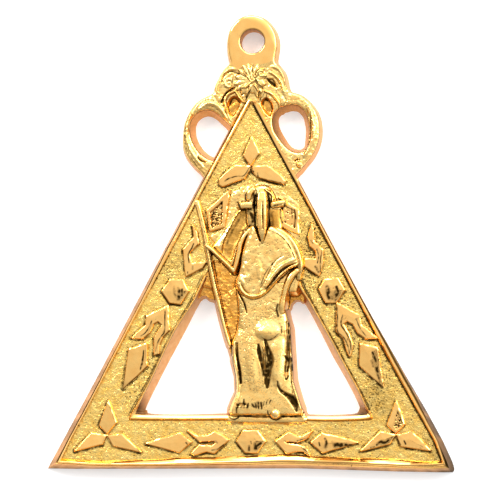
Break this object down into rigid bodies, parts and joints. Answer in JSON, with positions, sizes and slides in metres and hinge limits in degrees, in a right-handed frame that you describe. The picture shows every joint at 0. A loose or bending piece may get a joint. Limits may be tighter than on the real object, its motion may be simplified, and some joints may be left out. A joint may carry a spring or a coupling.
{
  "type": "masonic collar jewel",
  "caption": "Cast triangular collar jewel: pierced plate with a robed bird-headed figure and staff, scrolled crest, side scrolls and a suspension loop.",
  "frame": {"origin": "middle of the overall length and width, on the flat back", "axes": "+Z out of the front face, +Y along the length towards the suspension loop, +X to the viewer's right"},
  "size_m": [0.068, 0.0762, 0.0063],
  "materials": {
    "jewel": "cast, gilt, polished on the raised faces over a stippled field"
  },
  "bodies": {
    "root": {"jewel": "jewel"}
  },
  "joints": []
}
